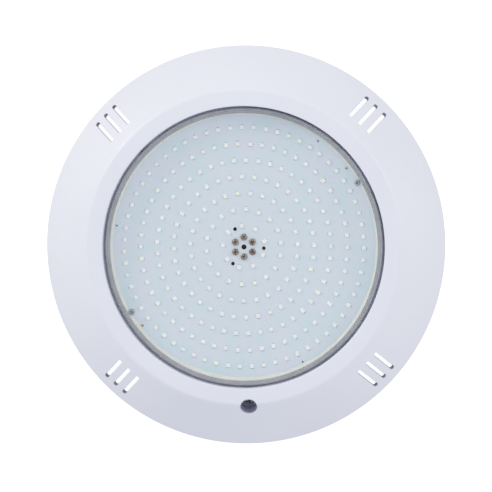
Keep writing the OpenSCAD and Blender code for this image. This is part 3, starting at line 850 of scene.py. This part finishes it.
def make_packages():
    """Puts a package at each solid of the CAD model's rings of packages."""
    template = package_shape(*PACKAGE_SIZE)
    rings = sorted(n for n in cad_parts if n.startswith("led_ring_"))
    for node in rings:
        group = Shape()
        for low, high in solids(node):
            middle = (low + high) / 2
            angle = math.atan2(middle.y, middle.x) + math.radians(chance.gauss(0, TURN_STRAY))
            half_turn = math.pi * chance.choice((0, 0, 0, 1))
            place = Vector((middle.x + chance.gauss(0, PLACE_STRAY),
                            middle.y + chance.gauss(0, PLACE_STRAY), BOARD_TOP))
            size = Matrix.Diagonal((chance.uniform(*SIZE_STRAY), chance.uniform(*SIZE_STRAY), 1, 1))
            turn = Matrix.Rotation(angle + half_turn, 4, "Z")
            brightness = chance.uniform(*SHADE_STRAY)
            tint = [c * brightness for c in chance.choice(TINTS)]
            group.copy_in(template, Matrix.Translation(place) @ turn @ size, (*tint, 1))
        piece = group.build(node.replace("led_ring", "packages_ring"),
                            [PACKAGE, WINDOW, SOLDER], 30)
        stand_for(piece, "lamp", "led_package", node)


def hole_rim(radius, width):
    """A thin tinned rim that lines a hole of the board and lies on its top."""
    top, inner, outer = 0.06, radius - 0.06, radius + width
    return lathe([(inner, -1), (inner, top * 0.6), (radius, top), (outer - 0.05, top),
                  (outer, 0.01), (outer, -0.02), (radius - 0.01, -0.02), (radius - 0.01, -1)], 40)


def make_hole_rims():
    """The tinned rims of the centre hole and of the three holes round the contacts."""
    rims = Shape()
    holes = 3
    rims.copy_in(hole_rim(1.9, 0.55), Matrix.Translation((0, 0, BOARD_TOP)))
    for i in range(holes):
        angle = BOARD_TURN + math.tau * i / holes
        place = Vector((BOARD_HOLE_R * math.cos(angle), BOARD_HOLE_R * math.sin(angle), BOARD_TOP))
        rims.copy_in(hole_rim(1.4, 0.7), Matrix.Translation(place))
    stand_for(rims.build("board_hole_rims", [TINNED], 40), "lamp", "board_mask")


# -------------------------------------------------------------------- screws

def cross_head(radius, height, dome):
    """A pan head with a cross recess; its underside is at z = 0."""
    steps = 48
    head = lathe([(0, 0), (radius * 0.92, 0), (radius, height * 0.12), (radius, height * 0.42)]
                 + [(radius * math.cos(math.radians(t)) ** 0.8,
                     height * 0.42 + (height * 0.58) * math.sin(math.radians(t)))
                    for t in (15, 30, 45, 60, 75)]
                 + [(0, height + dome)], steps, closed=False)
    piece = head.build("head", [STEEL], weighted=False)
    arm = radius * 0.62
    # Each blade's half length, half width and height, from its tip up
    levels = [(arm * 0.35, radius * 0.09, height * 0.25), (arm, radius * 0.15, height),
              (arm * 1.1, radius * 0.17, height + dome + 0.5)]
    for turn in (0, 90):
        matrix = Matrix.Rotation(math.radians(turn), 4, "Z")
        blade = loft([[matrix @ Vector((x * along, y * across, z))
                       for x, y in ((1, 1), (-1, 1), (-1, -1), (1, -1))]
                      for along, across, z in levels])
        cut(piece, blade.build("tool", [STEEL], weighted=False))
    shape = Shape()
    shape.add([v.co / MM for v in piece.data.vertices],
              [list(p.vertices) for p in piece.data.polygons])
    middle = [sum((shape.points[i] for i in face), Vector()) / len(face) for face in shape.faces]
    shape.paints = [int(m.z < height * 0.75 or math.hypot(m.x, m.y) > radius * 0.86)
                    for m in middle]
    bpy.data.objects.remove(piece)
    return shape


def thread(radius, depth, pitch, low, high):
    """A threaded shank: the groove runs round it as a helix, and fades at both ends."""
    steps, per_turn = 24, 8
    rows = max(2, round((high - low) / pitch * per_turn))
    loops = []
    for row in range(rows + 1):
        z = low + (high - low) * row / rows
        fade = min(1, (z - low) / pitch, (high - z) / pitch)
        loop = []
        for i in range(steps):
            turn = (z / pitch - i / steps) % 1
            groove = depth * (1 - abs(2 * turn - 1)) * fade
            angle = math.tau * i / steps
            loop.append(((radius - groove) * math.cos(angle),
                         (radius - groove) * math.sin(angle), z))
        loops.append(loop)
    return loft(loops)


def screw_shape(head_r, head_t, shank_r, shank_len, pitch, dome):
    """A screw with its head's underside at z = 0 and its shank below."""
    shape = Shape()
    shape.copy_in(cross_head(head_r, head_t - dome, dome))
    shape.copy_in(thread(shank_r, shank_r * 0.16, pitch, -shank_len, 0.05))
    return shape


def make_screws(node, name, look, slot, template, flip=False, tones=None):
    """Puts a screw at each solid of a CAD node, with its cross at a random turn."""
    group = Shape()
    for i, (low, high) in enumerate(solids(node)):
        middle = (low + high) / 2
        seat = Vector((middle.x, middle.y, 0))
        turn = Matrix.Rotation(chance.uniform(0, math.pi / 2), 4, "Z")
        if flip:
            seat.z = low.z + template["head_t"]
            turn = Matrix.Rotation(math.pi, 4, "X") @ turn
        else:
            seat.z = high.z - template["head_t"]
        group.copy_in(template["shape"], Matrix.Translation(seat) @ turn,
                      tones and (*tones[i], 1))
    piece = group.build(name, look, 35)
    return stand_for(piece, "lamp", slot, node)


def screw_template(head_r, head_t, *shank):
    """A screw's shape, kept with the height of its head."""
    return {"head_t": head_t, "shape": screw_shape(head_r, head_t, *shank)}


# Tones of the six contact screws, counter-clockwise from the lower left
CONTACT_TONES = [(1, 0.92, 0.84), (0.96, 1, 1), (0.94, 0.74, 0.88), (1, 0.96, 0.93),
                 (1, 0.97, 0.93), (1, 0.95, 0.84)]


def make_all_screws():
    """Every screw. Sizes: head radius and height, shank radius and length, pitch, dome."""
    make_screws("contact_screws", "contact_screws_cross", [NICKEL, TARNISH], "nickel_screw",
                screw_template(2.35, 1.5, 1.2, 4.2, 0.5, 0.15), tones=CONTACT_TONES)
    make_screws("board_screws", "board_screws_cross", [STEEL, TARNISH], "stainless",
                screw_template(1.95, 1.2, 1.15, 7, 0.5, 0.12))
    make_screws("ring_screws", "ring_screws_cross", [STEEL, STEEL], "stainless",
                screw_template(3, 2.4, 1.45, 13, 1.1, 0.25), flip=True)
    make_screws("driver_screws", "driver_screws_cross", [STEEL, STEEL], "stainless",
                screw_template(2.3, 1.5, 1.15, 4.6, 0.5, 0.15))
    shape = screw_shape(3.7, 2.6, 2, LOCK_SEAT - LOCK_GAP, 0.7, 0.25)
    group = Shape().copy_in(shape, lock_matrix(LOCK_SEAT) @ Matrix.Rotation(0.35, 4, "Z"))
    stand_for(group.build("locking_screw_cross", [STEEL, TARNISH], 35), "lock_screw", "stainless",
              "locking_screw")


# --------------------------------------------------------- carried CAD nodes

def finish_node(node, look, bevel):
    """Gives a CAD node its material, and rounds its sharp edges with modifiers only."""
    sharp = math.radians(32)
    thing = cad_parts[node]
    thing.data.materials.clear()
    thing.data.materials.append(look)
    for polygon in thing.data.polygons:
        polygon.material_index = 0
    weld = thing.modifiers.new("weld", "WELD")
    weld.merge_threshold = 1e-6
    if bevel:
        flat = thing.modifiers.new("flat_faces", "DECIMATE")
        flat.decimate_type = "DISSOLVE"
        flat.angle_limit = math.radians(0.5)
        edge = thing.modifiers.new("soft_edges", "BEVEL")
        edge.width = bevel * MM
        edge.segments = 2
        edge.limit_method = "ANGLE"
        edge.angle_limit = sharp
    split = thing.modifiers.new("sharp_edges", "EDGE_SPLIT")
    split.split_angle = sharp
    thing.modifiers.new("even_normals", "WEIGHTED_NORMAL")
    thing.data.shade_smooth()


# Each carried node's look, and the width of its soft edges in millimetres
CARRIED = {
    "housing": (WHITE, 0),
    "wall_bracket": (WHITE, 0),
    "led_board": (MASK, 0),
    "contact_block": (BLOCK_NYLON, 0),
    "contact_inserts": (BRASS, 0),
    "board_eyelets": (BRASS, 0),
    "driver_board": (GREEN_BOARD, 0),
    "bridge_rectifier": (EPOXY, 0.15),
    "filter_capacitors": (SLEEVE, 0),
    "power_inductor": (FERRITE, 0),
    "controller_chip": (EPOXY, 0.05),
    "output_transistors": (EPOXY, 0.08),
    "chip_resistors": (EPOXY, 0.06),
    "input_terminal": (GREEN_PLASTIC, 0.12),
    "output_header": (NATURAL_NYLON, 0.12),
    "link_wires": (INSULATION, 0),
    "potting_resin": (RESIN, 0),
    "gland_body": (NYLON, 0.2),
    "gland_oring": (RUBBER, 0.2),
    "gland_locknut": (NYLON, 0.3),
    "gland_seal": (RUBBER, 0.2),
    "gland_clamp_ring": (STEEL, 0.1),
    "gland_nut": (NYLON, 0.25),
    "lock_insert": (BRASS, 0.1),
    "lock_washer": (STEEL, 0.08),
}


# ------------------------------------------------------------ room and camera

def make_floor():
    """A bright seamless floor, one great triangle, that is seen only from above."""
    size = 20
    mesh = bpy.data.meshes.new("floor")
    mesh.from_pydata([(-size, -size, 0), (3 * size, -size, 0), (-size, 3 * size, 0)],
                     [], [(0, 1, 2)])
    floor = bpy.data.objects.new("floor", mesh)
    floor.location.z = -0.0005
    bpy.context.scene.collection.objects.link(floor)
    look = Look("floor_paint", Roughness=0.9, Specular_IOR_Level=0.0)
    look.set("Base Color", look.ramp(look.noise(0.4, 2), (0.3, (0.41, 0.41, 0.41)),
                                     (0.7, (0.43, 0.43, 0.43))))
    seen = look.add("LightPath").outputs["Is Camera Ray"]
    look.set("Emission Color", (1, 1, 1, 1))
    look.set("Emission Strength", look.spread(seen, 0.25, 0.9, 0, 1))
    look.let_through(look.add("NewGeometry").outputs["Backfacing"])
    mesh.materials.append(look.material)


ROOM_COLOUR = (0.99, 1.006, 1.018, 1)
ROOM_STRENGTH = 0.805
LAMP_COLOUR = (1.0, 0.92, 0.76)
LAMP_SIZE = 0.7


def make_light(name, place, power):
    """A round soft lamp that faces the middle of the scene."""
    data = bpy.data.lights.new(name, "AREA")
    data.shape = "DISK"
    data.size = LAMP_SIZE
    data.energy = power
    data.color = LAMP_COLOUR
    lamp = bpy.data.objects.new(name, data)
    back = Vector(place).normalized()
    lamp.location = place
    lamp.rotation_mode = "QUATERNION"
    lamp.rotation_quaternion = back.to_track_quat("Z", "Y")
    bpy.context.scene.collection.objects.link(lamp)


def make_room():
    """An evenly white room, its floor, and a soft lamp on each side."""
    scene = bpy.context.scene
    world = bpy.data.worlds.new("studio")
    world.use_nodes = True
    room = world.node_tree.nodes["Background"].inputs
    room["Color"].default_value = ROOM_COLOUR
    room["Strength"].default_value = ROOM_STRENGTH
    scene.world = world
    scene.view_settings.view_transform = "Standard"
    make_floor()
    make_light("left_softbox", (-1.681, 1.392, 0.75), 12.8)
    make_light("right_softbox", (2.0, 0.775, 0.75), 7.6)


def make_camera():
    """A long lens nearly straight above, as the light is seen from a little up and right."""
    distance, lean_x, lean_y, roll = 2.0, 2.7, 2.92, 1.92
    aim = Vector((0.00033, -0.00062, 0.006))
    data = bpy.data.cameras.new("camera")
    data.lens = 201.3
    data.sensor_width = 36
    data.clip_start = 0.05
    data.clip_end = 60
    camera = bpy.data.objects.new("camera", data)
    back = Vector((math.tan(math.radians(lean_x)), math.tan(math.radians(lean_y)), 1))
    back.normalize()
    up = Vector((math.sin(math.radians(roll)), math.cos(math.radians(roll)), 0))
    right = up.cross(back).normalized()
    up = back.cross(right)
    turn = Matrix((right, up, back)).transposed()
    camera.matrix_world = Matrix.Translation(aim + back * distance) @ turn.to_4x4()
    bpy.context.scene.collection.objects.link(camera)
    bpy.context.scene.camera = camera


make_camera()
make_room()
make_trim_ring()
make_lens()
make_gasket()
make_sealant()
make_packages()
make_hole_rims()
make_all_screws()
for node, (look, bevel) in CARRIED.items():
    finish_node(node, look, bevel)
